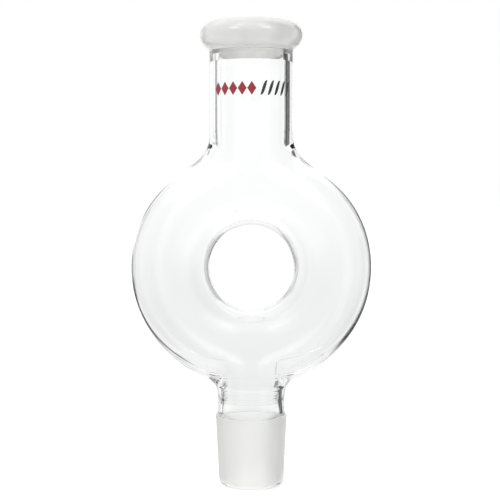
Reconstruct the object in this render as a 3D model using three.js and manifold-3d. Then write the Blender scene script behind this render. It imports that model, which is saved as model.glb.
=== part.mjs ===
// A one-piece laboratory glass vessel: a hollow ring chamber with an open eye through its middle, a neck with a
// white rounded lip above it, and a male ground joint below it. Millimetres, +Z up, the joint's end face at Z = 0,
// and the eye of the ring along Y. Each node is one of the pieces of glass that were melted together.
import * as THREE from "three";
import { mergeVertices } from "three/addons/utils/BufferGeometryUtils.js";
import Module from "manifold-3d";

const wasm = await Module();
wasm.setup();

// Driving dimensions. The ground joint is a standard 45/40 male cone: 45 mm at its large end, 40 mm long, 1:10.
const CONE_LARGE_DIAMETER = 45;
const CONE_LENGTH = 40;
const CONE_TAPER = 1 / 10;
const CONE_WALL = 4.3;
const END_HEIGHT = 4.1; // fire-polished end below the ground zone
const END_FLAT_OUTER = 18.1;
const END_FLAT_INNER = 16.4;
const END_INNER_ROUND = 0.8;

const STEM_RADIUS = 21.1;
const STEM_FLARE = 0.7; // the stem spreads this much where it runs into the cone
const STEM_BORE = 17.2;
const OUTLET_BORE = 16.2; // the bore is a little narrower where the stem leaves the ring
const OUTLET_TOP = 63;
const OUTLET_BOTTOM = 58.5;

const NECK_RADIUS = 26;
const NECK_BORE = 21.5;
const MOUTH_BORE = 20.5; // the bore draws in where the neck was heated to take the lip
const MOUTH_TAPER_BOTTOM = 264.8;

const RING_HEIGHT = 137.3; // centre of the eye
const RING_RADIUS = 75.5;
const EYE_RADIUS = 26.1;
const RING_HALF_DEPTH = 26.5;
const RING_WALL = 1.9;
const EYE_WALL = 0.9;
const EYE_SIDE = 19.7; // of the hollow, from its wall at the eye to its full depth
const FACE_WALL = 3.2;
const SHOULDER_DROP = 3.4; // the ring is a little flat towards the neck
const SHOULDER_POWER = 3;
const FLOOR_BULGE = 1; // and a little full towards the outlet
const FLOOR_BULGE_POWER = 16;
const FLOOR_EXTRA_WALL = 2.2; // glass gathered in the floor, round the outlet
const FLOOR_THIN_ANGLE = THREE.MathUtils.degToRad(75); // from straight down, where the floor starts to thicken
const FLOOR_THICK_ANGLE = THREE.MathUtils.degToRad(14);

// Fillets where the two tubes run into the ring, at front and back and at the two sides.
const NECK_FILLET = [1.5, 15];
const NECK_INNER_FILLET = [1.5, 13];
const STEM_FILLET = [6, 8];
const STEM_INNER_FILLET = [9, 11];
const NECK_FILLET_FADE = 7; // how far below the weld plane of the neck the fillets fade out

// The ring's thin wall runs up to the first height, and from the second the heavy wall of the neck begins.
// Each is at front and back and at the two sides.
const THIN_WALL_TOP = [186, 210.5];
const HEAVY_WALL_BOTTOM = [222, 213.5];
const THIN_WALL_BORE = [22.8, 23.4];

const LIP_RADIUS = 32.1;
const LIP_CREST_RADIUS = 22.6;
const LIP_UPPER_HEIGHT = 8.1; // above its widest level
const LIP_LOWER_HEIGHT = 9.2; // to the foot of its curve, which the neck hides
const LIP_INNER_ROUND_HEIGHT = 3.6;

const STEM_BOTTOM = END_HEIGHT + CONE_LENGTH;
const STEM_WELD = 54;
const NECK_WELD = 222;
const LIP_WELD = 271.3;
const LIP_WIDEST = 281.3;

const DECAL_BOTTOM = 242;
const DECAL_TOP = 252.5;
const DECAL_HALF_ANGLE = THREE.MathUtils.degToRad(64);
const DECAL_STEPS = 20;
const DECAL_GAP = 0.1;
const DECAL_THICKNESS = 0.3;

const ROUND_SEGMENTS = 56;
const RING_STEPS = 64; // round the eye
const TUBE_STEPS = 26; // round the tube of the ring
const END_CROWDING = 0.55; // how much the steps round the eye crowd together at the neck and the outlet
const STUB_LENGTH = 26; // how far the ring's skins run on past the two weld planes before they are cut there
const BLOCK = 300; // larger than the whole vessel
const RAY_LENGTH = 80;
const BISECTIONS = 30;
const CAP_SQUASH = 1.6; // flattens the closed end of a tube inside the ring

const RING_CENTRE_RADIUS = (RING_RADIUS + EYE_RADIUS) / 2;

const clearGlass = new THREE.MeshStandardMaterial({ color: 0xe9eff0, roughness: 0.03, metalness: 0 });
const groundGlass = new THREE.MeshStandardMaterial({ color: 0xe6e6e3, roughness: 0.6, metalness: 0 });
const whiteGlass = new THREE.MeshStandardMaterial({ color: 0xf1f1ef, roughness: 0.12, metalness: 0 });
const printInk = new THREE.MeshStandardMaterial({ color: 0x8e2530, roughness: 0.45, metalness: 0 });

// A closed geometry as a manifold-3d solid.
function solidOf(geometry) {
  const bare = geometry.clone();
  bare.deleteAttribute("normal");
  bare.deleteAttribute("uv");
  const merged = mergeVertices(bare, 1e-4);
  const vertProperties = new Float32Array(merged.attributes.position.array);
  const triVerts = new Uint32Array(merged.index.array);
  return new wasm.Manifold(new wasm.Mesh({ numProp: 3, vertProperties, triVerts }));
}

// A manifold-3d solid as a BufferGeometry.
function geometryOf(solid) {
  const made = solid.getMesh();
  const geometry = new THREE.BufferGeometry();
  geometry.setAttribute("position", new THREE.BufferAttribute(made.vertProperties, 3));
  geometry.setIndex(new THREE.BufferAttribute(made.triVerts, 1));
  geometry.computeVertexNormals();
  return geometry;
}

// A ring turned about Z from a closed outline of [radius, height] points, given anticlockwise.
function turned(outline) {
  const points = [...outline, outline[0]].map(([r, z]) => new THREE.Vector2(r, z));
  return new THREE.LatheGeometry(points, ROUND_SEGMENTS).rotateX(Math.PI / 2);
}

// Points on an elliptical arc, in [radius, height].
function arc([r, z], [halfWidth, halfHeight], fromDegrees, toDegrees, steps) {
  const points = [];
  for (let i = 0; i <= steps; i++) {
    const a = THREE.MathUtils.degToRad(THREE.MathUtils.lerp(fromDegrees, toDegrees, i / steps));
    points.push([r + halfWidth * Math.cos(a), z + halfHeight * Math.sin(a)]);
  }
  return points;
}

// How far a place round the upright axis is from front and back (0) towards the two sides (1).
function sidewaysShare(x, y) {
  return (x * x) / Math.max(x * x + y * y, 1e-9);
}

// A size given at front and back and at the two sides, at a place between them.
function sizeAt([frontSize, sideSize], x, y) {
  return THREE.MathUtils.lerp(frontSize, sideSize, sidewaysShare(x, y));
}

// The size of a fillet at a place. It is gone where the neck is welded on.
function filletAt(x, y, z, sizes) {
  const fade = 1 - THREE.MathUtils.smoothstep(z, NECK_WELD - NECK_FILLET_FADE, NECK_WELD);
  return 0.01 + sizeAt(sizes, x, y) * fade;
}

// Joins two distance fields with a rounded fillet of about the given size.
function smoothUnion(a, b, size) {
  const near = Math.max(size - Math.abs(a - b), 0) / size;
  return Math.min(a, b) - (near * near * size) / 4;
}

// How far (x, y, z) lies outside a ring round the eye. Its section is half an ellipse from the first radius to the
// second, full depth from there to the third, and half an ellipse again from there to the fourth.
function ringField(x, y, z, [inner, innerMiddle, outerMiddle, outer], halfDepth) {
  const fromEye = Math.hypot(x, z - RING_HEIGHT);
  const across = Math.max(fromEye - outerMiddle, 0) + Math.min(fromEye - innerMiddle, 0);
  const halfWidth = across > 0 ? outer - outerMiddle : innerMiddle - inner;
  const share = Math.hypot(across / halfWidth, y / halfDepth);
  const slope = Math.hypot(across / halfWidth ** 2, y / halfDepth ** 2);
  return slope < 1e-9 ? -halfWidth : ((share - 1) * share) / slope;
}

// How far (x, y, z) lies outside an upright tube that leaves the ring upwards (side 1) or downwards (side -1).
function tubeField(x, y, z, radius, side) {
  const inside = Math.min(side * (z - RING_HEIGHT) - RING_CENTRE_RADIUS, 0);
  return Math.hypot(x, y, CAP_SQUASH * inside) - radius;
}

// The angle of (x, z) round the eye, measured from straight down, 0 to PI.
function angleFromDown(x, z) {
  return Math.atan2(Math.abs(x), RING_HEIGHT - z);
}

function ringOuterRadius(x, z) {
  const down = Math.cos(angleFromDown(x, z));
  const bulge = FLOOR_BULGE * Math.max(down, 0) ** FLOOR_BULGE_POWER;
  return RING_RADIUS + bulge - SHOULDER_DROP * Math.max(-down, 0) ** SHOULDER_POWER;
}

function ringWall(x, z) {
  const floor = 1 - THREE.MathUtils.smoothstep(angleFromDown(x, z), FLOOR_THICK_ANGLE, FLOOR_THIN_ANGLE);
  return RING_WALL + FLOOR_EXTRA_WALL * floor;
}

// The outside of the ring chamber with the stubs of its neck and outlet.
function outsideField(x, y, z) {
  const outer = ringOuterRadius(x, z);
  const middle = (outer + EYE_RADIUS) / 2;
  const ring = ringField(x, y, z, [EYE_RADIUS, middle, middle, outer], RING_HALF_DEPTH);
  const withNeck = smoothUnion(ring, tubeField(x, y, z, NECK_RADIUS, 1), filletAt(x, y, z, NECK_FILLET));
  return smoothUnion(withNeck, tubeField(x, y, z, STEM_RADIUS, -1), filletAt(x, y, z, STEM_FILLET));
}

function neckHollow(x, y, z) {
  const heavy = THREE.MathUtils.smoothstep(z, sizeAt(THIN_WALL_TOP, x, y), sizeAt(HEAVY_WALL_BOTTOM, x, y));
  return THREE.MathUtils.lerp(sizeAt(THIN_WALL_BORE, x, y), NECK_BORE, heavy);
}

function stemHollow(z) {
  return THREE.MathUtils.lerp(STEM_BORE, OUTLET_BORE, THREE.MathUtils.smoothstep(z, OUTLET_BOTTOM, OUTLET_TOP));
}

// The hollow inside the same chamber.
function insideField(x, y, z) {
  const inner = EYE_RADIUS + EYE_WALL;
  const outerMiddle = (inner + ringOuterRadius(x, z) - RING_WALL) / 2;
  const outer = ringOuterRadius(x, z) - ringWall(x, z);
  const ring = ringField(x, y, z, [inner, inner + EYE_SIDE, outerMiddle, outer], RING_HALF_DEPTH - FACE_WALL);
  const neck = tubeField(x, y, z, neckHollow(x, y, z), 1);
  const withNeck = smoothUnion(ring, neck, filletAt(x, y, z, NECK_INNER_FILLET));
  return smoothUnion(withNeck, tubeField(x, y, z, stemHollow(z), -1), filletAt(x, y, z, STEM_INNER_FILLET));
}

// The distance along a ray from the middle of the ring's tube to where the field turns positive.
function rayToSkin(field, roundEye, roundTube) {
  const at = (distance) => {
    const fromEye = RING_CENTRE_RADIUS + distance * Math.cos(roundTube);
    const x = fromEye * Math.cos(roundEye);
    const z = RING_HEIGHT + fromEye * Math.sin(roundEye);
    return new THREE.Vector3(x, distance * Math.sin(roundTube), z);
  };
  const outside = (distance) => {
    const p = at(distance);
    const beyondStubs = Math.max(p.z - NECK_WELD, STEM_WELD - p.z) - STUB_LENGTH;
    return Math.max(field(p.x, p.y, p.z), beyondStubs) > 0;
  };
  let near = 0;
  let far = RAY_LENGTH;
  for (let i = 0; i < BISECTIONS; i++) {
    const middle = (near + far) / 2;
    if (outside(middle)) far = middle;
    else near = middle;
  }
  return at(near);
}

// The closed skin where a field is zero, as a grid of rays round the eye and round the ring's tube.
function skin(field) {
  const positions = [];
  const indices = [];
  for (let i = 0; i < RING_STEPS; i++) {
    const even = (2 * Math.PI * i) / RING_STEPS;
    const roundEye = even + (END_CROWDING / 2) * Math.sin(2 * even);
    for (let j = 0; j < TUBE_STEPS; j++) {
      positions.push(...rayToSkin(field, roundEye, (2 * Math.PI * j) / TUBE_STEPS).toArray());
      const next = ((i + 1) % RING_STEPS) * TUBE_STEPS;
      const beside = (j + 1) % TUBE_STEPS;
      const here = i * TUBE_STEPS;
      indices.push(here + j, here + beside, next + j);
      indices.push(next + j, here + beside, next + beside);
    }
  }
  const geometry = new THREE.BufferGeometry();
  geometry.setAttribute("position", new THREE.Float32BufferAttribute(positions, 3));
  geometry.setIndex(indices);
  return geometry;
}

// The block of space above (side 1) or below (side -1) a level.
function blockBeyond(level, side) {
  return solidOf(new THREE.BoxGeometry(BLOCK, BLOCK, BLOCK).translate(0, 0, level + (side * BLOCK) / 2));
}

function ringChamber() {
  const hollow = solidOf(skin(outsideField)).subtract(solidOf(skin(insideField)));
  return geometryOf(hollow.subtract(blockBeyond(NECK_WELD, 1)).subtract(blockBeyond(STEM_WELD, -1)));
}

function groundJoint() {
  const large = CONE_LARGE_DIAMETER / 2;
  const small = large - (CONE_LENGTH * CONE_TAPER) / 2;
  const boreBottom = END_FLAT_INNER - END_INNER_ROUND;
  return turned([
    [END_FLAT_INNER, 0],
    ...arc([END_FLAT_OUTER, END_HEIGHT], [small - END_FLAT_OUTER, END_HEIGHT], -90, 0, 6),
    [large, STEM_BOTTOM],
    [large - CONE_WALL, STEM_BOTTOM],
    ...arc([END_FLAT_INNER, END_INNER_ROUND], [END_FLAT_INNER - boreBottom, END_INNER_ROUND], 180, 225, 2),
  ]);
}

function jointStem() {
  const flareTop = STEM_BOTTOM + 2;
  const boreAtCone = CONE_LARGE_DIAMETER / 2 - CONE_WALL;
  return turned([
    [STEM_RADIUS + STEM_FLARE, STEM_BOTTOM],
    ...arc([STEM_RADIUS + STEM_FLARE, flareTop], [STEM_FLARE, 1.4], 225, 180, 3),
    [STEM_RADIUS, STEM_WELD],
    [STEM_BORE, STEM_WELD],
    [(STEM_BORE * 2 + boreAtCone) / 3, (STEM_WELD * 2 + STEM_BOTTOM) / 3],
    [(STEM_BORE + boreAtCone * 3) / 4, (STEM_WELD + STEM_BOTTOM * 3) / 4],
    [boreAtCone, STEM_BOTTOM],
  ]);
}

function neckTube() {
  return turned([
    [NECK_RADIUS, NECK_WELD],
    [NECK_RADIUS, LIP_WELD],
    [MOUTH_BORE, LIP_WELD],
    [NECK_BORE, MOUTH_TAPER_BOTTOM],
    [NECK_BORE, NECK_WELD],
  ]);
}

function mouthLip() {
  const crest = LIP_WIDEST + LIP_UPPER_HEIGHT;
  const outerHalf = LIP_RADIUS - LIP_CREST_RADIUS;
  const innerHalf = LIP_CREST_RADIUS - MOUTH_BORE;
  const innerRound = arc(
    [LIP_CREST_RADIUS, crest - LIP_INNER_ROUND_HEIGHT],
    [innerHalf, LIP_INNER_ROUND_HEIGHT],
    90,
    180,
    5,
  );
  return turned([
    [MOUTH_BORE, LIP_WELD],
    [NECK_RADIUS + 0.2, LIP_WELD],
    ...arc([LIP_CREST_RADIUS, LIP_WIDEST], [outerHalf, LIP_LOWER_HEIGHT], -66, 0, 7),
    ...arc([LIP_CREST_RADIUS, LIP_WIDEST], [outerHalf, LIP_UPPER_HEIGHT], 0, 90, 8).slice(1),
    ...innerRound.slice(1),
  ]);
}

// A thin curved band on the front of the neck.
function printedDecal() {
  const inner = NECK_RADIUS + DECAL_GAP;
  const outer = inner + DECAL_THICKNESS;
  const middle = -Math.PI / 2;
  const shape = new THREE.Shape();
  for (let i = 0; i <= DECAL_STEPS; i++) {
    const a = middle - DECAL_HALF_ANGLE + (2 * DECAL_HALF_ANGLE * i) / DECAL_STEPS;
    if (i === 0) shape.moveTo(outer * Math.cos(a), outer * Math.sin(a));
    else shape.lineTo(outer * Math.cos(a), outer * Math.sin(a));
  }
  for (let i = DECAL_STEPS; i >= 0; i--) {
    const a = middle - DECAL_HALF_ANGLE + (2 * DECAL_HALF_ANGLE * i) / DECAL_STEPS;
    shape.lineTo(inner * Math.cos(a), inner * Math.sin(a));
  }
  const height = DECAL_TOP - DECAL_BOTTOM;
  return new THREE.ExtrudeGeometry(shape, { depth: height, bevelEnabled: false }).translate(0, 0, DECAL_BOTTOM);
}

const vessel = new THREE.Group();

function add(name, geometry, material) {
  const mesh = new THREE.Mesh(geometry, material);
  mesh.name = name;
  vessel.add(mesh);
}

add("mouth_lip", mouthLip(), whiteGlass);
add("neck_tube", neckTube(), clearGlass);
add("ring_chamber", ringChamber(), clearGlass);
add("joint_stem", jointStem(), clearGlass);
add("ground_joint", groundJoint(), groundGlass);
add("printed_decal", printedDecal(), printInk);

export default vessel;
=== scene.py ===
# Looks of a laboratory glass ring vessel: five fused pieces of glass and a fired-on print, on a pale floor.
# Lengths named here are in millimetres, as a glassblower would give them, unless their name or a note says
# otherwise. MM takes them to the frame's metres.
import math

import bmesh
import bpy
import numpy as np
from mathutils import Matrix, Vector


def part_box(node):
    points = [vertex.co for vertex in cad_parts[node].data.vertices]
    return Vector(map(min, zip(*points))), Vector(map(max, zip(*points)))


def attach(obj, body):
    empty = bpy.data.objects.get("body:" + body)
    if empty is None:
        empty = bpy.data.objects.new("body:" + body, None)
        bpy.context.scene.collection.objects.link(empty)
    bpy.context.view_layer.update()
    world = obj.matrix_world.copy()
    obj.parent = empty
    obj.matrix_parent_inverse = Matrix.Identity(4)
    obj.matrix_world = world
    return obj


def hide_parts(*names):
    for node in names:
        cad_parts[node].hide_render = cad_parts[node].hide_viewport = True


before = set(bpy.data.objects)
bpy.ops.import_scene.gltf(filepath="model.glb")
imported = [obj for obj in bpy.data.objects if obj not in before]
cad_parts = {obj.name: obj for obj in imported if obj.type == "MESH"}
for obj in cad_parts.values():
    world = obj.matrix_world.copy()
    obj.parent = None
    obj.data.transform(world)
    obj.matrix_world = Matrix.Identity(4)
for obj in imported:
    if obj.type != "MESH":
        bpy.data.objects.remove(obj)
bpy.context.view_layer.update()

MM = 0.001


def box_mm(cad_node):
    """Lowest and highest corner of a CAD node, in millimetres."""
    low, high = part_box(cad_node)
    return np.array(low) / MM, np.array(high) / MM


# Heights and radii that the frame holds.
RING_LOW, RING_HIGH = box_mm("ring_chamber")
LIP_LOW, LIP_HIGH = box_mm("mouth_lip")
PRINT_LOW, PRINT_HIGH = box_mm("printed_decal")
NECK_HIGH = box_mm("neck_tube")[1]
CONE_HIGH = box_mm("ground_joint")[1]
STEM_WELD = RING_LOW[2]
NECK_WELD = RING_HIGH[2]
LIP_WELD = LIP_LOW[2]
NECK_RADIUS = NECK_HIGH[0]
RING_RADIUS = RING_HIGH[0]
RING_HALF_DEPTH = RING_HIGH[1]
LIP_RADIUS = LIP_HIGH[0]
LIP_TOP = LIP_HIGH[2]
CONE_RADIUS = CONE_HIGH[0]
CONE_TOP = CONE_HIGH[2]

# The ring chamber.
RING_HEIGHT = 137.3  # of the middle of the eye
EYE_RADIUS = 26.1
RING_WALL = 1.9
EYE_WALL = 0.9
EYE_SIDE = 19.7  # of the hollow, from its wall at the eye to its full depth
FACE_WALL = 3.2
SHOULDER_DROP = 3.4
SHOULDER_POWER = 3
FLOOR_BULGE = 1.0
FLOOR_BULGE_POWER = 16
FLOOR_EXTRA_WALL = 2.2
FLOOR_THICK_ANGLE = math.radians(14)  # from straight down, as the next
FLOOR_THIN_ANGLE = math.radians(75)
# Fillets, at front and back and at the two sides.
NECK_FILLET = (1.5, 15.0)
NECK_INNER_FILLET = (1.5, 13.0)
STEM_FILLET = (6.0, 8.0)
STEM_INNER_FILLET = (9.0, 11.0)
LEAST_FILLET = 0.01
FILLET_FADE = 7.0  # below the neck's weld, over which the neck's fillets run out
# Heights between which the neck's foot turns from a thin wall to a heavy one, and the bore of the thin wall,
# at front and back and at the two sides.
THIN_WALL_TOP = (186.0, 210.5)
HEAVY_WALL_BOTTOM = (222.0, 213.5)
THIN_WALL_BORE = (22.8, 23.4)
OUTLET_BORE = 16.2
OUTLET_TOP = 63.0
OUTLET_BOTTOM = 58.5
CAP_SQUASH = 1.6  # how much flatter than a half ball the neck and the stem end inside the ring
RING_CENTRE_RADIUS = (RING_RADIUS + EYE_RADIUS) / 2

# How the ring's two skins are found.
RING_STEPS = 300
TUBE_STEPS = 150
END_CROWDING = 0.5  # draws the rays together at the neck and the stem
SKIN_REACH = 80.0  # longer than any ray from the middle of the ring's tube to its skin
STUB_LENGTH = 20.0  # by which the skins run past the welds, until they are cut off at the welds
BISECTIONS = 34
TINY = 1e-9
CUT_SLACK = 1e-8  # in metres, as the next two
RIM_SLACK = 1e-6
DOUBLES_WITHIN = 1e-7

# The tubes and the joint.
NECK_BORE = 21.5
MOUTH_BORE = 20.5
MOUTH_TAPER_BOTTOM = 264.8
STEM_RADIUS = 21.1
STEM_FLARE = 0.7
STEM_FLARE_HEIGHT = 2.0
STEM_BORE = 17.2
STEM_BORE_POINTS = 20
STEM_BORE_EVEN = 0.1  # share of the stem's bore, from the top, before it turns into the joint's
CONE_LENGTH = 40.0
CONE_TAPER = 0.1
CONE_WALL = 4.3
END_HEIGHT = CONE_TOP - CONE_LENGTH
END_FLAT_OUTER = 18.1
END_FLAT_INNER = 16.4
END_INNER_ROUND = 0.8
END_STEPS = 18
END_POLISHED_STEPS = 12  # of the end's round, from the flat, before the ground surface begins
LIP_CREST_RADIUS = 22.6
LIP_LOWER_HEIGHT = 9.2
LIP_WIDEST = 281.3
LIP_INNER_ROUND_HEIGHT = 3.6
LIP_FOOT_ANGLE = -66  # in degrees, where the round of the lip's underside meets its foot
LIP_FOOT_STEP = 0.2  # how far the lip's foot stands out from the neck
SEAM_GAP = 0.02  # keeps the white lip's underside from falling exactly on the end of the neck
TURNED_SEGMENTS = 160
SAME_POINT = 1e-6

# Fine raised lines in the glass where pieces were fused, each with its place, its half width and how high it
# stands. The floor seams spread outwards as they climb from the outlet, and drop into it at their foot.
EYE_SEAM = (29.1, 0.40, 0.06)
FLOOR_SEAM = (64.7, 0.45, 0.20)
FLOOR_SEAM_SPREAD = 10.7  # for each radian from straight down
FLOOR_SEAM_SPAN = (math.radians(15), math.radians(41))  # from straight down
FLOOR_SEAM_FADE = 0.05  # in radians
DROP_SEAM = (17.2, 0.45, 0.15)
DROP_SEAM_SPAN = (66.0 * MM, 73.0 * MM)
DROP_SEAM_FADE = 1.0 * MM
STEM_SEAMS = [(70.7, 0.9, 0.06), (60.8, 0.6, 0.06), (56.2, 0.5, 0.05), (53.1, 0.5, 0.05)]
STEM_SEAM_REACH = 19.0 * MM  # to either side of the middle

# The print, an ornament of lozenges and leaves. Angles are from the front of the neck.
INK_LIFT = 0.03
INK_THICKNESS = 0.06
INK_COLUMNS = 12  # of each shape, so that it follows the round of the neck
LEAST_INK = 0.12  # half the height of a shape at its tips
LOZENGES = 5
LOZENGE_SPAN = (math.radians(-57), math.radians(7))
LOZENGE_WIDTH_SHARE = 0.94
LOZENGE_HEIGHT_SHARE = 0.8
LOZENGE_DROP = 0.3
LEAVES = 5
LEAF_SPAN = (math.radians(12), math.radians(62))
LEAF_WIDTH_SHARE = 0.95
LEAF_HEIGHT_SHARE = 0.85
LEAF_HALF_THICKNESS = 2.6

# The camera, as the photograph was taken, in metres.
CAMERA_PLACE = (-0.0008, -0.708, 0.1941)
CAMERA_TILT_DOWN = math.radians(3.74)
CAMERA_LENS = 81.36
SENSOR_WIDTH = 36.0

# The room. Compass angles are degrees from the backdrop (0, towards +Y), positive to the right of the
# photograph, and heights are degrees above the horizon. First how bright the backdrop and the room in front
# of it are by height.
BACKDROP = [
    (-90, 0.94), (-30, 0.90), (-12, 0.91), (-7, 0.93), (-4, 0.99),
    (-1, 1.05), (6, 1.06), (30, 1.06), (50, 1.6), (90, 1.6),
]
ROOM_IN_FRONT = [
    (-90, 0.80), (-40, 0.55), (-20, 0.42), (-5, 0.50),
    (4, 0.85), (30, 0.95), (50, 1.5), (90, 1.6),
]
BACKDROP_EDGE = (75, 130)  # the backdrop gives way to the room between these compass angles
RAMP_TOP = 2.0  # ramps hold 0 to 1, so they are scaled by this
SEEN_BACKDROP = 1.0  # what the camera sees of the room past the vessel

# Cards in the room: compass angles, heights, how soft the edges are in degrees, and how many times as bright
# as the room each is. The lower and upper edges are twice as soft.
CARDS = [
    # Dark cards at both sides of the backdrop, which draw the dark lines along the edges of the glass.
    ((27.5, 56), (-36, 30), 3.0, 0.04),
    ((-41, -30.5), (-48, 0), 3.0, 0.12),
    ((-52, -27), (-16, -8), 2.0, 0.08),
    ((-57, -44), (-12, 22), 3.0, 0.30),
    ((-38, -28), (10, 24), 3.0, 0.25),
    ((18, 29), (-30, -9), 3.0, 0.10),
    ((-32, -23), (-30, -9), 3.0, 0.15),
    # The dim side of the room, to the right of the vessel.
    ((70, 122), (-70, 70), 26.0, 0.25),
    # A low bright panel in front, to the right, which views from behind see through the glass.
    ((122, 148), (-32, 0), 8.0, 1.8),
    # Soft boxes in front, left and right.
    ((-161, -134), (24, 56), 10.0, 1.9),
    ((136, 163), (24, 56), 10.0, 1.9),
]

# Two small soft boxes that only the white lip takes: compass angle and height of their direction, width and
# height of the box in metres, and watts.
LIP_LAMPS = [
    (-138, 20, 0.32, 0.26, 0.55),
    (143, 24, 0.32, 0.26, 0.55),
]
LAMP_DISTANCE = 0.9  # in metres, from the front of the lip

# The floor, in metres.
FLOOR_SIZE = 12.0
FLOOR_DROP = 0.0002

GLASS_IOR = 1.474  # borosilicate


# ---------------------------------------------------------------- shader nodes

def node(tree, kind, **settings):
    """A new shader node. Settings i0, i1 and so on set or link its inputs, the others are its properties.
    Properties come first, because they decide which inputs there are."""
    made = tree.nodes.new(kind)
    inputs = {}
    for key, value in settings.items():
        if key[0] == "i" and key[1:].isdigit():
            inputs[int(key[1:])] = value
        else:
            setattr(made, key, value)
    for number, value in inputs.items():
        if isinstance(value, bpy.types.NodeSocket):
            tree.links.new(value, made.inputs[number])
        else:
            made.inputs[number].default_value = value
    return made


def maths(tree, operation, *values):
    """The outcome of one sum on values or sockets."""
    inputs = {f"i{number}": value for number, value in enumerate(values)}
    return node(tree, "ShaderNodeMath", operation=operation, **inputs).outputs[0]


def mixed(tree, share, first, second):
    """A number between two others, the first where the share is 0 and the second where it is 1."""
    return node(tree, "ShaderNodeMix", data_type="FLOAT", i0=share, i2=first, i3=second).outputs[0]


def eased(tree, value, start, end, low, high):
    """A number that goes smoothly from low to high while a value goes from start to end."""
    spans = {"i1": start, "i2": end, "i3": low, "i4": high}
    return node(tree, "ShaderNodeMapRange", interpolation_type="SMOOTHSTEP", i0=value, **spans).outputs[0]


def between_edges(tree, value, low, high, soft):
    """1 between two edges of a value and 0 outside them, with soft edges."""
    rising = eased(tree, value, low - soft / 2, low + soft / 2, 0, 1)
    falling = eased(tree, value, high - soft / 2, high + soft / 2, 1, 0)
    return maths(tree, "MULTIPLY", rising, falling)


def by_height(tree, share, stops):
    """A grey that depends on the height of a direction, from [height, grey] stops, linear between them. The
    share is 0 straight down and 1 straight up, and the grey comes out divided by RAMP_TOP."""
    made = node(tree, "ShaderNodeValToRGB", i0=share)
    elements = made.color_ramp.elements
    while len(elements) > 1:
        elements.remove(elements[-1])
    for number, (height, grey) in enumerate(stops):
        place = 0.5 + height / 180
        element = elements.new(place) if number else elements[0]
        element.position = place
        element.color = (*[grey / RAMP_TOP] * 3, 1)
    return made.outputs["Color"]


def own_place(tree):
    """Where a point of the piece is, in the piece's own metres."""
    return node(tree, "ShaderNodeTexCoord").outputs["Object"]


def noise(tree, place, scale, detail=2.0):
    """Soft random clouds from 0 to 1."""
    made = node(tree, "ShaderNodeTexNoise", i0=place)
    made.inputs["Scale"].default_value = scale
    made.inputs["Detail"].default_value = detail
    return made.outputs[0]


def bumped(tree, height, strength, distance, under=None):
    """A surface direction tilted as a height map says, on top of another tilt where there is one."""
    made = node(tree, "ShaderNodeBump")
    made.inputs["Strength"].default_value = strength
    made.inputs["Distance"].default_value = distance
    tree.links.new(height, made.inputs["Height"])
    if under is not None:
        tree.links.new(under, made.inputs["Normal"])
    return made.outputs[0]


def tinted(tree, share, first_stop, last_stop):
    """A colour that depends on a share and turns from one [share, colour] stop to another."""
    made = node(tree, "ShaderNodeValToRGB", i0=share)
    for element, (place, colour) in zip(made.color_ramp.elements, (first_stop, last_stop)):
        element.position = place
        element.color = (*colour, 1)
    return made.outputs[0]


# ---------------------------------------------------------------- camera, room and lamps

def make_camera():
    """The photograph's camera, which looks along +Y and a little down."""
    data = bpy.data.cameras.new("camera")
    data.lens = CAMERA_LENS
    data.sensor_width = SENSOR_WIDTH
    data.clip_start = 0.01
    data.clip_end = 20
    camera = bpy.data.objects.new("camera", data)
    camera.location = CAMERA_PLACE
    camera.rotation_euler = (math.pi / 2 - CAMERA_TILT_DOWN, 0, 0)
    bpy.context.scene.collection.objects.link(camera)
    bpy.context.scene.camera = camera


def compass_and_height(tree):
    """The compass angle and the height, in degrees, of the direction that the world is looked at."""
    direction = node(tree, "ShaderNodeTexCoord").outputs["Generated"]
    split = node(tree, "ShaderNodeSeparateXYZ", i0=direction)
    compass = maths(tree, "DEGREES", maths(tree, "ARCTAN2", split.outputs[0], split.outputs[1]))
    height = maths(tree, "DEGREES", maths(tree, "ARCSINE", split.outputs[2]))
    return compass, height


def bare_room(tree, compass, height):
    """How bright the room is without its cards: the backdrop behind, the room in front."""
    share = maths(tree, "MULTIPLY_ADD", height, 1 / 180, 0.5)
    behind = by_height(tree, share, BACKDROP)
    in_front = by_height(tree, share, ROOM_IN_FRONT)
    turned_away = eased(tree, maths(tree, "ABSOLUTE", compass), *BACKDROP_EDGE, 0, 1)
    return maths(tree, "MULTIPLY", mixed(tree, turned_away, behind, in_front), RAMP_TOP)


def with_card(tree, bright, compass, height, card):
    """The room's brightness with one card put in."""
    compass_span, height_span, soft, times = card
    across = between_edges(tree, compass, *compass_span, soft)
    upright = between_edges(tree, height, *height_span, soft * 2)
    shade = maths(tree, "MULTIPLY_ADD", maths(tree, "MULTIPLY", across, upright), times - 1, 1.0)
    return maths(tree, "MULTIPLY", bright, shade)


def make_room():
    """The room as the glass sees it. The camera itself sees plain white past the vessel."""
    world = bpy.data.worlds.new("room")
    bpy.context.scene.world = world
    world.use_nodes = True
    tree = world.node_tree
    tree.nodes.clear()
    compass, height = compass_and_height(tree)
    bright = bare_room(tree, compass, height)
    for card in CARDS:
        bright = with_card(tree, bright, compass, height, card)
    straight = node(tree, "ShaderNodeLightPath").outputs["Is Camera Ray"]
    seen = mixed(tree, straight, bright, SEEN_BACKDROP)
    background = node(tree, "ShaderNodeBackground", i0=seen, i1=1.0)
    node(tree, "ShaderNodeOutputWorld", i0=background.outputs[0])


def direction_of(compass, height):
    """The unit vector towards a compass angle and a height, both in degrees."""
    turn, rise = math.radians(compass), math.radians(height)
    return Vector((math.cos(rise) * math.sin(turn), math.cos(rise) * math.cos(turn), math.sin(rise)))


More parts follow.
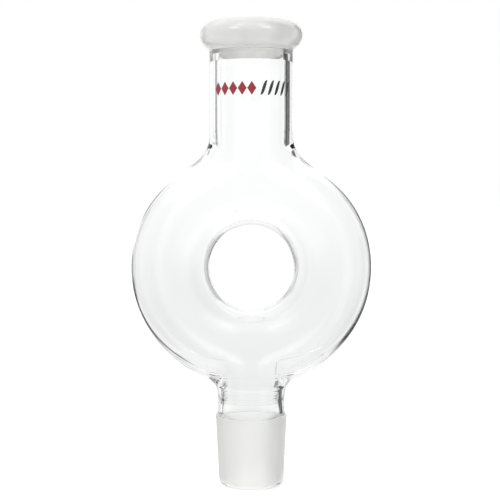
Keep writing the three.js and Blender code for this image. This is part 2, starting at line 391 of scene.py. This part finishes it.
def lip_lamps(lip):
    """Lamps that give the lip its two glints. Only its gloss takes them, so clear glass doesn't show them."""
    takers = bpy.data.collections.new("lip_only")
    takers.objects.link(lip)
    front = Vector((0, -LIP_RADIUS, LIP_WIDEST)) * MM
    for number, (compass, height, wide, tall, watts) in enumerate(LIP_LAMPS):
        data = bpy.data.lights.new(f"lip_lamp_{number}", "AREA")
        data.shape = "RECTANGLE"
        data.size = wide
        data.size_y = tall
        data.energy = watts
        towards = direction_of(compass, height)
        lamp = bpy.data.objects.new(f"lip_lamp_{number}", data)
        lamp.location = front + towards * LAMP_DISTANCE
        lamp.rotation_euler = towards.to_track_quat("Z", "Y").to_euler()
        lamp.visible_camera = False
        lamp.visible_diffuse = False
        lamp.visible_transmission = False
        lamp.light_linking.receiver_collection = takers
        bpy.context.scene.collection.objects.link(lamp)


def make_floor():
    """A pale floor just below the vessel. It glows a little, and isn't seen through the glass or in it."""
    mesh = bpy.data.meshes.new("floor")
    half = FLOOR_SIZE / 2
    corners = [(x, y, -FLOOR_DROP) for x, y in ((-half, -half), (half, -half), (half, half), (-half, half))]
    mesh.from_pydata(corners, [], [(0, 1, 2, 3)])
    floor = bpy.data.objects.new("floor", mesh)
    bpy.context.scene.collection.objects.link(floor)
    material = bpy.data.materials.new("pale_floor")
    material.use_nodes = True
    tree = material.node_tree
    tree.nodes.clear()
    diffuse = node(tree, "ShaderNodeBsdfDiffuse", i0=(0.9, 0.9, 0.9, 1))
    glow = node(tree, "ShaderNodeEmission", i0=(1, 1, 1, 1), i1=0.25)
    both = node(tree, "ShaderNodeAddShader", i0=diffuse.outputs[0], i1=glow.outputs[0])
    node(tree, "ShaderNodeOutputMaterial", i0=both.outputs[0])
    mesh.materials.append(material)
    floor.visible_transmission = False
    floor.visible_glossy = False


# ---------------------------------------------------------------- materials

def principled(name):
    """A new material, its node tree and its one Principled shader."""
    material = bpy.data.materials.new(name)
    material.use_nodes = True
    tree = material.node_tree
    return material, tree, tree.nodes["Principled BSDF"]


def ridge(tree, value, place, half_width, rise):
    """A soft ridge along the line where a value in metres is at a place. The place, the half width and the
    rise are in millimetres, and so is the height that comes out."""
    away = maths(tree, "ABSOLUTE", maths(tree, "SUBTRACT", value, place * MM))
    return eased(tree, away, 0, half_width * MM, rise, 0)


def seams(tree, place):
    """The height of the fine raised lines where the pieces were fused: round the back of the eye, above the
    floor of the ring to either side of the outlet, and across the stem."""
    x, y, z = node(tree, "ShaderNodeSeparateXYZ", i0=place).outputs
    up = maths(tree, "SUBTRACT", z, RING_HEIGHT * MM)
    from_eye = maths(tree, "SQRT", maths(tree, "MULTIPLY_ADD", up, up, maths(tree, "MULTIPLY", x, x)))
    beside = maths(tree, "ABSOLUTE", x)
    angle = maths(tree, "ARCTAN2", beside, maths(tree, "MULTIPLY", up, -1.0))
    eye = maths(tree, "MULTIPLY", ridge(tree, from_eye, *EYE_SEAM), maths(tree, "GREATER_THAN", y, 0.0))
    spread = maths(tree, "MULTIPLY_ADD", angle, -FLOOR_SEAM_SPREAD * MM, from_eye)
    within = between_edges(tree, angle, *FLOOR_SEAM_SPAN, FLOOR_SEAM_FADE)
    floor = maths(tree, "MULTIPLY", ridge(tree, spread, *FLOOR_SEAM), within)
    below = between_edges(tree, z, *DROP_SEAM_SPAN, DROP_SEAM_FADE)
    drop = maths(tree, "MULTIPLY", ridge(tree, beside, *DROP_SEAM), below)
    raised = maths(tree, "ADD", maths(tree, "ADD", eye, floor), drop)
    middle = maths(tree, "LESS_THAN", beside, STEM_SEAM_REACH)
    for seam in STEM_SEAMS:
        raised = maths(tree, "MULTIPLY_ADD", ridge(tree, z, *seam), middle, raised)
    return raised


def clear_glass():
    """Clear borosilicate glass, with the faint waviness of blown and drawn glass and its seams."""
    material, tree, shader = principled("clear_glass")
    shader.inputs["Base Color"].default_value = (0.985, 0.99, 0.988, 1)
    shader.inputs["Roughness"].default_value = 0.0
    shader.inputs["IOR"].default_value = GLASS_IOR
    shader.inputs["Transmission Weight"].default_value = 1.0
    place = own_place(tree)
    waves = noise(tree, place, scale=45.0, detail=1.0)
    wavy = bumped(tree, waves, strength=0.06, distance=0.001)
    lined = bumped(tree, seams(tree, place), strength=1.0, distance=MM, under=wavy)
    tree.links.new(lined, shader.inputs["Normal"])
    return material


def ground_glass():
    """Glass ground with fine grit, which scatters what comes through it, with faint rings from grinding, and
    a painted glow that stands for the light coming through it from behind.
    """
    material, tree, shader = principled("ground_glass")
    shader.inputs["Base Color"].default_value = (0.75, 0.755, 0.74, 1)
    shader.inputs["IOR"].default_value = GLASS_IOR
    shader.inputs["Transmission Weight"].default_value = 0.92
    # Painted glow: a faint white emission in place of the light from behind that comes through the ground
    # glass.
    shader.inputs["Emission Color"].default_value = (1, 1, 0.985, 1)
    shader.inputs["Emission Strength"].default_value = 0.15
    place = own_place(tree)
    grain = noise(tree, place, scale=2600.0, detail=3.0)
    stretch = node(tree, "ShaderNodeMapping", i0=place)
    stretch.inputs["Scale"].default_value = (40, 40, 900)
    rings = noise(tree, stretch.outputs[0], scale=1.0)
    rough = node(tree, "ShaderNodeMapRange", i0=rings)
    rough.inputs["To Min"].default_value = 0.44
    rough.inputs["To Max"].default_value = 0.60
    tree.links.new(rough.outputs[0], shader.inputs["Roughness"])
    height = maths(tree, "MULTIPLY_ADD", rings, 0.35, grain)  # the rings are fainter than the grain
    tree.links.new(bumped(tree, height, strength=0.25, distance=0.0002), shader.inputs["Normal"])
    return material


def white_glass():
    """Opaque white glass, a little cloudy, with a fire-polished skin."""
    material, tree, shader = principled("white_glass")
    shader.inputs["Roughness"].default_value = 0.06
    shader.inputs["IOR"].default_value = 1.8
    shader.inputs["Subsurface Weight"].default_value = 0.25
    shader.inputs["Subsurface Radius"].default_value = (1, 1, 1)
    shader.inputs["Subsurface Scale"].default_value = 0.002
    clouds = noise(tree, own_place(tree), scale=90.0, detail=3.0)
    tint = tinted(tree, clouds, (0.3, (0.572, 0.572, 0.562)), (0.7, (0.612, 0.612, 0.602)))
    tree.links.new(tint, shader.inputs["Base Color"])
    return material


def white_glass_painted_lit():
    """The same white glass inside the mouth and over the neck's end, its colour painted brighter to stand for
    the light that comes in there from outside.
    """
    material, _, shader = principled("white_glass_painted_lit")
    shader.inputs["Base Color"].default_value = (0.90, 0.90, 0.89, 1)
    shader.inputs["Roughness"].default_value = 0.2
    return material


def print_ink(name, colour):
    """Fired-on enamel, slightly uneven as screened ink is."""
    material, tree, shader = principled(name)
    shader.inputs["Roughness"].default_value = 0.38
    speckle = noise(tree, own_place(tree), scale=1400.0)
    darker = [part * 0.75 for part in colour]
    tint = tinted(tree, speckle, (0.35, darker), (0.65, colour))
    tree.links.new(tint, shader.inputs["Base Color"])
    return material


def weld_plane():
    """The plane where two fused pieces of glass meet. There is nothing to see, so light goes straight on."""
    material, _, shader = principled("weld_plane")
    shader.inputs["Alpha"].default_value = 0.0
    return material


# ---------------------------------------------------------------- shapes

def link(name, mesh):
    """A new object in the scene with a mesh."""
    piece = bpy.data.objects.new(name, mesh)
    bpy.context.scene.collection.objects.link(piece)
    return piece


def stand_for(piece, cad_node):
    """Rides the piece on the vessel's one body in place of a CAD node, which it hides."""
    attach(piece, "root")
    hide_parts(cad_node)


def arc(centre, half, from_degrees, to_degrees, steps):
    """Points on an elliptical arc, in [radius, height]."""
    angles = np.radians(np.linspace(from_degrees, to_degrees, steps + 1))
    return [(centre[0] + half[0] * math.cos(a), centre[1] + half[1] * math.sin(a)) for a in angles]


def turned(name, stretches, materials, sharp_degrees=30):
    """A closed ring turned about Z. Each stretch of its outline is a material number and [radius, height]
    points, and the outline runs anticlockwise, each stretch starting where the last one ended."""
    outline, slots = [], []
    for number, points in stretches:
        for point in points:
            if not outline or math.dist(outline[-1], point) > SAME_POINT:
                outline.append(point)
                slots.append(number)
            else:
                slots[-1] = number
    if math.dist(outline[-1], outline[0]) < SAME_POINT:
        outline.pop()
        slots.pop()
    count = len(outline)
    turns = [2 * math.pi * k / TURNED_SEGMENTS for k in range(TURNED_SEGMENTS)]
    corners = [(r * math.cos(t) * MM, r * math.sin(t) * MM, z * MM) for t in turns for r, z in outline]
    faces, numbers = [], []
    for k in range(TURNED_SEGMENTS):
        here, there = k * count, (k + 1) % TURNED_SEGMENTS * count
        for i in range(count):
            j = (i + 1) % count
            faces.append((here + i, there + i, there + j, here + j))
            numbers.append(slots[i])
    mesh = bpy.data.meshes.new(name)
    mesh.from_pydata(corners, [], faces)
    for material in materials:
        mesh.materials.append(material)
    mesh.polygons.foreach_set("material_index", numbers)
    mesh.polygons.foreach_set("use_smooth", [True] * len(faces))
    mesh.set_sharp_from_angle(angle=math.radians(sharp_degrees))
    return link(name, mesh)


def smoothstep(value, low, high):
    """0 up to the low value and 1 from the high one, with a smooth climb between them."""
    t = np.clip((value - low) / (high - low), 0, 1)
    return t * t * (3 - 2 * t)


def smooth_union(a, b, size):
    """Two fields as one, with a fillet of a size where they meet."""
    near = np.maximum(size - np.abs(a - b), 0) / size
    return np.minimum(a, b) - near * near * size / 4


def sideways(x, y):
    """How far a place round the upright axis is from front and back (0) towards the two sides (1)."""
    return x * x / np.maximum(x * x + y * y, TINY)


def between(pair, share):
    """The value that lies at a share of the way from a pair's first to its second."""
    return pair[0] + (pair[1] - pair[0]) * share


def fillet_at(x, y, z, pair):
    """The size of a fillet at a place round the upright axis. It is gone where the neck is welded on."""
    fade = 1 - smoothstep(z, NECK_WELD - FILLET_FADE, NECK_WELD)
    return LEAST_FILLET + between(pair, sideways(x, y)) * fade


def ring_field(x, y, z, radii, half_depth):
    """How far points lie outside a ring round the eye. Its section is half an ellipse from the first radius
    to the second, full depth from there to the third, and half an ellipse again from there to the fourth."""
    inner, inner_middle, outer_middle, outer = radii
    from_eye = np.hypot(x, z - RING_HEIGHT)
    across = np.maximum(from_eye - outer_middle, 0) + np.minimum(from_eye - inner_middle, 0)
    half_width = np.where(across > 0, outer - outer_middle, inner_middle - inner)
    share = np.hypot(across / half_width, y / half_depth)
    slope = np.hypot(across / half_width**2, y / half_depth**2)
    return np.where(slope < TINY, -half_width, (share - 1) * share / np.maximum(slope, TINY))


def tube_field(x, y, z, radius, side):
    """How far points lie outside an upright tube that leaves the ring upwards (1) or downwards (-1)."""
    inside = np.minimum(side * (z - RING_HEIGHT) - RING_CENTRE_RADIUS, 0)
    return np.sqrt(x * x + y * y + (CAP_SQUASH * inside) ** 2) - radius


def ring_outer(x, z):
    """The ring's outer radius, which is fuller towards the stem and flatter towards the neck."""
    down = np.cos(np.arctan2(np.abs(x), RING_HEIGHT - z))
    bulge = FLOOR_BULGE * np.maximum(down, 0) ** FLOOR_BULGE_POWER
    return RING_RADIUS + bulge - SHOULDER_DROP * np.maximum(-down, 0) ** SHOULDER_POWER


def ring_wall(x, z):
    """How thick the ring's outer wall is, more towards the stem."""
    angle = np.arctan2(np.abs(x), RING_HEIGHT - z)
    floor = 1 - smoothstep(angle, FLOOR_THICK_ANGLE, FLOOR_THIN_ANGLE)
    return RING_WALL + FLOOR_EXTRA_WALL * floor


def outside_field(x, y, z):
    """Below zero inside the outer skin of the ring with its two stubs."""
    outer = ring_outer(x, z)
    middle = (outer + EYE_RADIUS) / 2
    ring = ring_field(x, y, z, (EYE_RADIUS, middle, middle, outer), RING_HALF_DEPTH)
    with_neck = smooth_union(ring, tube_field(x, y, z, NECK_RADIUS, 1), fillet_at(x, y, z, NECK_FILLET))
    return smooth_union(with_neck, tube_field(x, y, z, STEM_RADIUS, -1), fillet_at(x, y, z, STEM_FILLET))


def inside_field(x, y, z):
    """Below zero in the hollow of the ring and its two stubs."""
    inner = EYE_RADIUS + EYE_WALL
    outer_middle = (inner + ring_outer(x, z) - RING_WALL) / 2
    outer = ring_outer(x, z) - ring_wall(x, z)
    ring = ring_field(x, y, z, (inner, inner + EYE_SIDE, outer_middle, outer), RING_HALF_DEPTH - FACE_WALL)
    side = sideways(x, y)
    heavy = smoothstep(z, between(THIN_WALL_TOP, side), between(HEAVY_WALL_BOTTOM, side))
    neck_bore = between((between(THIN_WALL_BORE, side), NECK_BORE), heavy)
    neck = tube_field(x, y, z, neck_bore, 1)
    with_neck = smooth_union(ring, neck, fillet_at(x, y, z, NECK_INNER_FILLET))
    outlet_bore = between((STEM_BORE, OUTLET_BORE), smoothstep(z, OUTLET_BOTTOM, OUTLET_TOP))
    outlet = tube_field(x, y, z, outlet_bore, -1)
    return smooth_union(with_neck, outlet, fillet_at(x, y, z, STEM_INNER_FILLET))


def skin(field, inwards):
    """Vertices and faces of the closed skin where a field is zero, found along rays that go round the eye and
    round the ring's tube."""
    even = 2 * math.pi * np.arange(RING_STEPS) / RING_STEPS
    round_eye = (even + END_CROWDING / 2 * np.sin(2 * even))[:, None]
    round_tube = (2 * math.pi * np.arange(TUBE_STEPS) / TUBE_STEPS)[None, :]

    def at(distance):
        """The places that lie at given distances along the rays."""
        from_eye = RING_CENTRE_RADIUS + distance * np.cos(round_tube)
        x = from_eye * np.cos(round_eye)
        z = RING_HEIGHT + from_eye * np.sin(round_eye)
        return x, distance * np.sin(round_tube), z

    near = np.zeros((RING_STEPS, TUBE_STEPS))
    far = np.full((RING_STEPS, TUBE_STEPS), SKIN_REACH)
    for _ in range(BISECTIONS):
        middle = (near + far) / 2
        x, y, z = at(middle)
        beyond = np.maximum(z - NECK_WELD, STEM_WELD - z) - STUB_LENGTH
        out = np.maximum(field(x, y, z), beyond) > 0
        far = np.where(out, middle, far)
        near = np.where(out, near, middle)
    corners = np.stack(at(near), axis=-1).reshape(-1, 3) * MM
    faces = []
    for i in range(RING_STEPS):
        here, there = i * TUBE_STEPS, (i + 1) % RING_STEPS * TUBE_STEPS
        for j in range(TUBE_STEPS):
            k = (j + 1) % TUBE_STEPS
            face = (here + j, here + k, there + k, there + j)
            faces.append(face[::-1] if inwards else face)
    return corners, faces


def cut_and_cap(bm, height, upwards, cap_number):
    """Cuts the two skins off at a height and closes the glass between them with a flat ring."""
    everything = bm.verts[:] + bm.edges[:] + bm.faces[:]
    normal = (0, 0, 1 if upwards else -1)
    bmesh.ops.bisect_plane(
        bm, geom=everything, dist=CUT_SLACK, plane_co=(0, 0, height), plane_no=normal, clear_outer=True
    )
    rim = [e for e in bm.edges if e.is_boundary and all(abs(v.co.z - height) < RIM_SLACK for v in e.verts)]
    made = bmesh.ops.triangle_fill(bm, use_beauty=True, use_dissolve=False, edges=rim, normal=normal)
    for face in made["geom"]:
        if isinstance(face, bmesh.types.BMFace):
            face.material_index = cap_number
            face.smooth = False
            if (face.normal.z > 0) != upwards:
                face.normal_flip()
    for edge in rim:
        edge.smooth = False


def ring_chamber(glass, weld):
    """The hollow ring with a stub up to the neck and one down to the stem."""
    outer_corners, outer_faces = skin(outside_field, False)
    inner_corners, inner_faces = skin(inside_field, True)
    shift = len(outer_corners)
    faces = outer_faces + [tuple(v + shift for v in face) for face in inner_faces]
    mesh = bpy.data.meshes.new("ring_chamber_glass")
    mesh.from_pydata(np.vstack([outer_corners, inner_corners]).tolist(), [], faces)
    bm = bmesh.new()
    bm.from_mesh(mesh)
    for face in bm.faces:
        face.smooth = True
    cut_and_cap(bm, NECK_WELD * MM, True, 1)
    cut_and_cap(bm, STEM_WELD * MM, False, 1)
    bmesh.ops.remove_doubles(bm, verts=bm.verts[:], dist=DOUBLES_WITHIN)
    bm.to_mesh(mesh)
    bm.free()
    mesh.materials.append(glass)
    mesh.materials.append(weld)
    piece = link("ring_chamber_glass", mesh)
    stand_for(piece, "ring_chamber")


def neck_tube(glass, weld):
    """The heavy-wall tube, whose bore narrows a little towards the mouth."""
    outline = [
        (0, [(NECK_RADIUS, NECK_WELD), (NECK_RADIUS, LIP_WELD)]),
        (1, [(NECK_RADIUS, LIP_WELD), (MOUTH_BORE, LIP_WELD)]),
        (0, [(MOUTH_BORE, LIP_WELD), (NECK_BORE, MOUTH_TAPER_BOTTOM), (NECK_BORE, NECK_WELD)]),
        (1, [(NECK_BORE, NECK_WELD), (NECK_RADIUS, NECK_WELD)]),
    ]
    piece = turned("neck_tube_glass", outline, [glass, weld], sharp_degrees=5)
    stand_for(piece, "neck_tube")


def mouth_lip(white, lit_white):
    """The rounded lip on the end of the neck."""
    foot = LIP_WELD + SEAM_GAP
    outer_half = LIP_RADIUS - LIP_CREST_RADIUS
    inner_half = LIP_CREST_RADIUS - MOUTH_BORE
    upper = LIP_TOP - LIP_WIDEST
    inner_round = LIP_TOP - LIP_INNER_ROUND_HEIGHT
    foot_radius = NECK_RADIUS + LIP_FOOT_STEP
    crest = (LIP_CREST_RADIUS, LIP_WIDEST)
    under = arc(crest, (outer_half, LIP_LOWER_HEIGHT), LIP_FOOT_ANGLE, 0, steps=24)
    # Material 1 is the white glass painted brighter, as lit from outside: the lip's foot and its bore.
    outline = [
        (1, [(MOUTH_BORE, foot), (foot_radius, foot)]),
        (0, [(foot_radius, foot), *under]),
        (0, arc(crest, (outer_half, upper), 0, 90, steps=32)),
        (0, arc((LIP_CREST_RADIUS, inner_round), (inner_half, LIP_INNER_ROUND_HEIGHT), 90, 180, steps=16)),
        (1, [(MOUTH_BORE, inner_round), (MOUTH_BORE, foot)]),
    ]
    piece = turned("mouth_lip_glass", outline, [white, lit_white], sharp_degrees=40)
    stand_for(piece, "mouth_lip")
    return piece


def joint_stem(glass, weld):
    """The short stem between the ring and the cone, a little flared where the cone begins."""
    flare_top = CONE_TOP + STEM_FLARE_HEIGHT
    bore_at_cone = CONE_RADIUS - CONE_WALL
    bore = []
    for share in np.linspace(0, 1, STEM_BORE_POINTS):
        turning = smoothstep(share, STEM_BORE_EVEN, 1)
        bore.append((between((STEM_BORE, bore_at_cone), turning), between((STEM_WELD, CONE_TOP), share)))
    outline = [
        (0, arc((STEM_RADIUS + STEM_FLARE, flare_top), (STEM_FLARE, STEM_FLARE_HEIGHT), 270, 180, steps=8)),
        (0, [(STEM_RADIUS, flare_top), (STEM_RADIUS, STEM_WELD)]),
        (1, [(STEM_RADIUS, STEM_WELD), (STEM_BORE, STEM_WELD)]),
        (0, bore),
        (1, [(bore_at_cone, CONE_TOP), (STEM_RADIUS + STEM_FLARE, CONE_TOP)]),
    ]
    piece = turned("joint_stem_glass", outline, [glass, weld])
    stand_for(piece, "joint_stem")


def ground_joint(glass, frosted, weld):
    """The cone, ground outside, with a fire-polished lower end."""
    small = CONE_RADIUS - CONE_LENGTH * CONE_TAPER / 2
    bore_top = CONE_RADIUS - CONE_WALL
    shoulder = STEM_RADIUS + STEM_FLARE
    inner_half = (END_INNER_ROUND, END_INNER_ROUND)
    inner_end = arc((END_FLAT_INNER, END_INNER_ROUND), inner_half, 180, 270, steps=6)
    outer_half = (small - END_FLAT_OUTER, END_HEIGHT)
    end = arc((END_FLAT_OUTER, END_HEIGHT), outer_half, -90, 0, steps=END_STEPS)
    outline = [
        (0, [(END_FLAT_INNER, 0), *end[:END_POLISHED_STEPS + 1]]),
        (1, [*end[END_POLISHED_STEPS:], (CONE_RADIUS, CONE_TOP)]),
        (1, [(CONE_RADIUS, CONE_TOP), (shoulder, CONE_TOP)]),
        (2, [(shoulder, CONE_TOP), (bore_top, CONE_TOP)]),
        (0, [(bore_top, CONE_TOP), *inner_end]),
    ]
    piece = turned("ground_joint_glass", outline, [glass, frosted, weld], sharp_degrees=25)
    stand_for(piece, "ground_joint")


# ---------------------------------------------------------------- the print

def wrapped(name, groups):
    """Thin closed plates on the front of the neck. Each group is a material and its shapes, and each shape is
    a list of columns (angle from the front, low edge, high edge)."""
    bm = bmesh.new()
    mesh = bpy.data.meshes.new(name)
    for number, (material, shapes) in enumerate(groups):
        mesh.materials.append(material)
        for columns in shapes:
            plate(bm, columns, number)
    bmesh.ops.recalc_face_normals(bm, faces=bm.faces[:])
    bm.to_mesh(mesh)
    bm.free()
    return link(name, mesh)


def plate(bm, columns, number):
    """One closed plate from its columns."""
    inner = NECK_RADIUS + INK_LIFT
    outer = inner + INK_THICKNESS
    loops = []
    for angle, low, high in columns:
        section = [(inner, low), (outer, low), (outer, high), (inner, high)]
        loops.append([
            bm.verts.new((r * math.sin(angle) * MM, -r * math.cos(angle) * MM, z * MM)) for r, z in section
        ])
    faces = [bm.faces.new(loops[0]), bm.faces.new(loops[-1])]
    for here, there in zip(loops, loops[1:]):
        for i in range(4):
            faces.append(bm.faces.new((here[i], here[i - 1], there[i - 1], there[i])))
    for face in faces:
        face.material_index = number


def lozenge(angle, middle, half_angle, half_height):
    """The columns of an upright lozenge."""
    columns = []
    for t in np.linspace(-1, 1, INK_COLUMNS + 1):
        reach = max(half_height * (1 - abs(t)), LEAST_INK)
        columns.append((angle + half_angle * t, middle - reach, middle + reach))
    return columns


def leaf(angle, middle, half_angle, half_height, half_thickness):
    """The columns of a slender leaf that leans to the right."""
    columns = []
    for t in np.linspace(-1, 1, INK_COLUMNS + 1):
        reach = max(half_thickness * (1 - t * t), LEAST_INK)
        spine = middle + (half_height - LEAST_INK) * t
        columns.append((angle + half_angle * t, spine - reach, spine + reach))
    return columns


def along(span, count):
    """The middles of equal steps along a span, and half a step."""
    half = (span[1] - span[0]) / count / 2
    return [span[0] + half * (2 * k + 1) for k in range(count)], half


def printed_ornament(red, charcoal):
    """A plain row of bold lozenges and slender leaves, in place of the maker's print."""
    middle = (PRINT_LOW[2] + PRINT_HIGH[2]) / 2
    half_height = (PRINT_HIGH[2] - PRINT_LOW[2]) / 2
    places, half = along(LOZENGE_SPAN, LOZENGES)
    width, height = half * LOZENGE_WIDTH_SHARE, half_height * LOZENGE_HEIGHT_SHARE
    lozenges = [lozenge(angle, middle - LOZENGE_DROP, width, height) for angle in places]
    places, half = along(LEAF_SPAN, LEAVES)
    width, height = half * LEAF_WIDTH_SHARE, half_height * LEAF_HEIGHT_SHARE
    leaves = [leaf(angle, middle, width, height, LEAF_HALF_THICKNESS) for angle in places]
    piece = wrapped("printed_ornament", [(red, lozenges), (charcoal, leaves)])
    stand_for(piece, "printed_decal")


# ---------------------------------------------------------------- the vessel

def render_settings():
    """Light passes through many skins of glass, so paths are long, and colours come out as they are."""
    scene = bpy.context.scene
    scene.view_settings.view_transform = "Standard"
    scene.cycles.max_bounces = 32
    scene.cycles.transmission_bounces = 32
    scene.cycles.glossy_bounces = 16
    scene.cycles.transparent_max_bounces = 32
    scene.cycles.use_denoising = True


make_camera()
make_room()
make_floor()
render_settings()

GLASS = clear_glass()
WELD = weld_plane()
ring_chamber(GLASS, WELD)
neck_tube(GLASS, WELD)
lip_lamps(mouth_lip(white_glass(), white_glass_painted_lit()))
joint_stem(GLASS, WELD)
ground_joint(GLASS, ground_glass(), WELD)
printed_ornament(print_ink("red_ink", (0.30, 0.02, 0.03)), print_ink("charcoal_ink", (0.03, 0.03, 0.035)))
